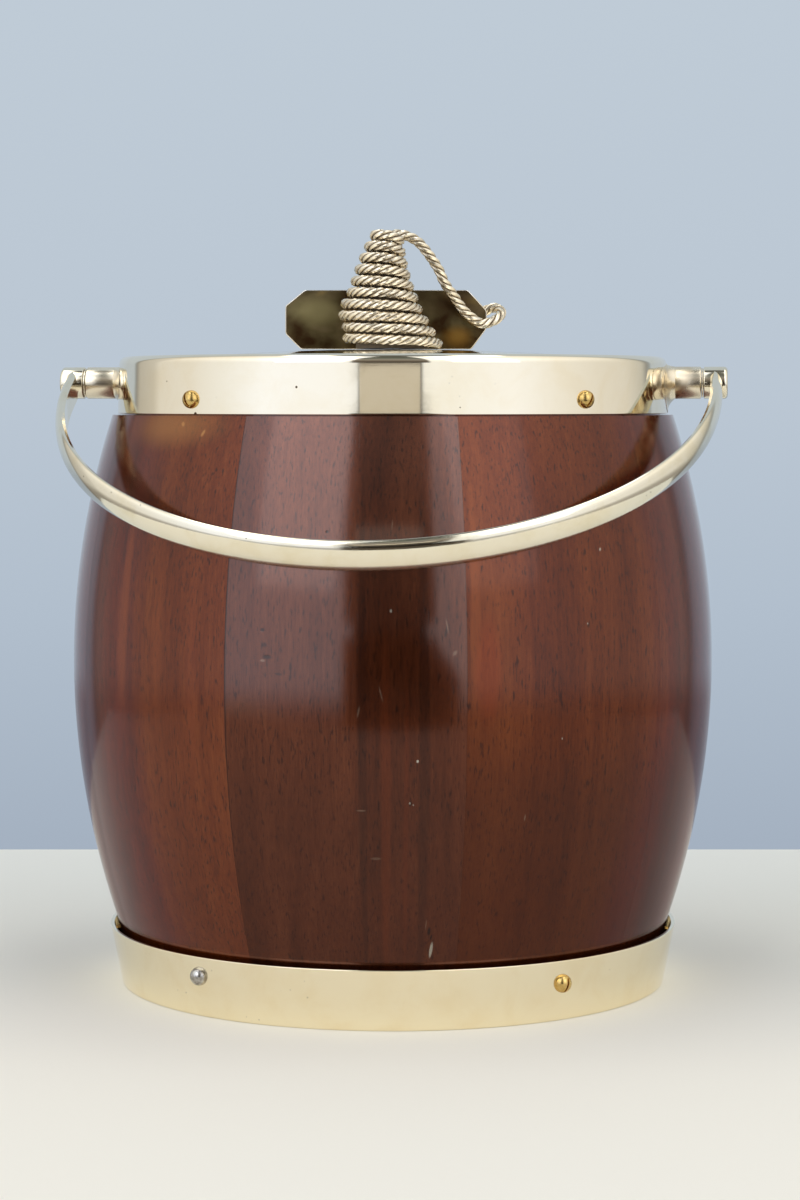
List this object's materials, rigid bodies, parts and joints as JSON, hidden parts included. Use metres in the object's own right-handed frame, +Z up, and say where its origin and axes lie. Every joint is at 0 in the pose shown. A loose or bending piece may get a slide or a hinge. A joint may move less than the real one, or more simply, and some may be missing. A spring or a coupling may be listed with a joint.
{
  "type": "biscuit barrel",
  "caption": "Coopered wooden biscuit barrel with a plated collar and base band, a swinging bail handle, a lift-off domed lid with a wound finial, and a glazed liner.",
  "frame": {"origin": "middle of the base plane, on the barrel's axis, where it stands on a table", "axes": "+Z up along the barrel's axis; X along the handle's pivots, +X at the lug that is nearer in the picture; -Y is the front, where the handle hangs"},
  "size_m": [0.1644, 0.159, 0.1838],
  "materials": {
    "mahogany": "french polished red-brown hardwood, worn and lightly dented",
    "board_wood": "bare planed wood",
    "glaze": null,
    "collar_plate": "pale nickel-silver plate, polished and softly worn",
    "lug_plate": "pale plated casting, polished and worn warm",
    "handle_plate": "pale nickel-silver plate, polished",
    "lid_plate": "pale nickel-silver plate, spun and polished",
    "band_plate": "pale worn plate over brass, polished",
    "screw_brass": "dull brass",
    "steel": "bright steel",
    "rope_metal": "tarnished silver-beige metal with dark hollows",
    "plaque_brass": "mottled olive-brown brass with bright edges"
  },
  "bodies": {
    "barrel": {"stave_01": "mahogany", "stave_02": "mahogany", "stave_03": "mahogany", "stave_04": "mahogany", "stave_05": "mahogany", "stave_06": "mahogany", "stave_07": "mahogany", "stave_08": "mahogany", "stave_09": "mahogany", "bottom_board": "board_wood", "ceramic_liner": "glaze", "top_collar": "collar_plate", "collar_screw_1": "screw_brass", "collar_screw_2": "screw_brass", "collar_screw_3": "screw_brass", "collar_screw_4": "screw_brass", "lug_left": "lug_plate", "lug_right": "lug_plate", "handle_washer_left": "lug_plate", "handle_washer_right": "lug_plate", "base_band": "band_plate", "base_screw_1": "steel", "base_screw_2": "screw_brass", "base_screw_3": "screw_brass", "base_screw_4": "screw_brass", "base_screw_5": "screw_brass"},
    "handle": {"bail_handle": "handle_plate", "pivot_pin_left": "steel", "pivot_pin_right": "steel"},
    "lid": {"lid_cover": "lid_plate", "lid_bezel": "lid_plate", "finial_core": "rope_metal", "finial_rope": "rope_metal", "plaque": "plaque_brass", "finial_stud": "steel", "finial_washer": "screw_brass", "finial_nut": "screw_brass"}
  },
  "joints": [
    {"name": "handle_swing", "type": "hinge", "parent": "barrel", "child": "handle", "pos_m": [0, 0, 0.146], "axis": [-1, 0, 0], "range_deg": [0, 231.5]},
    {"name": "lid_lift", "type": "slide", "parent": "barrel", "child": "lid", "axis": [0, 0, 1], "range_m": [0, 0.12]}
  ]
}
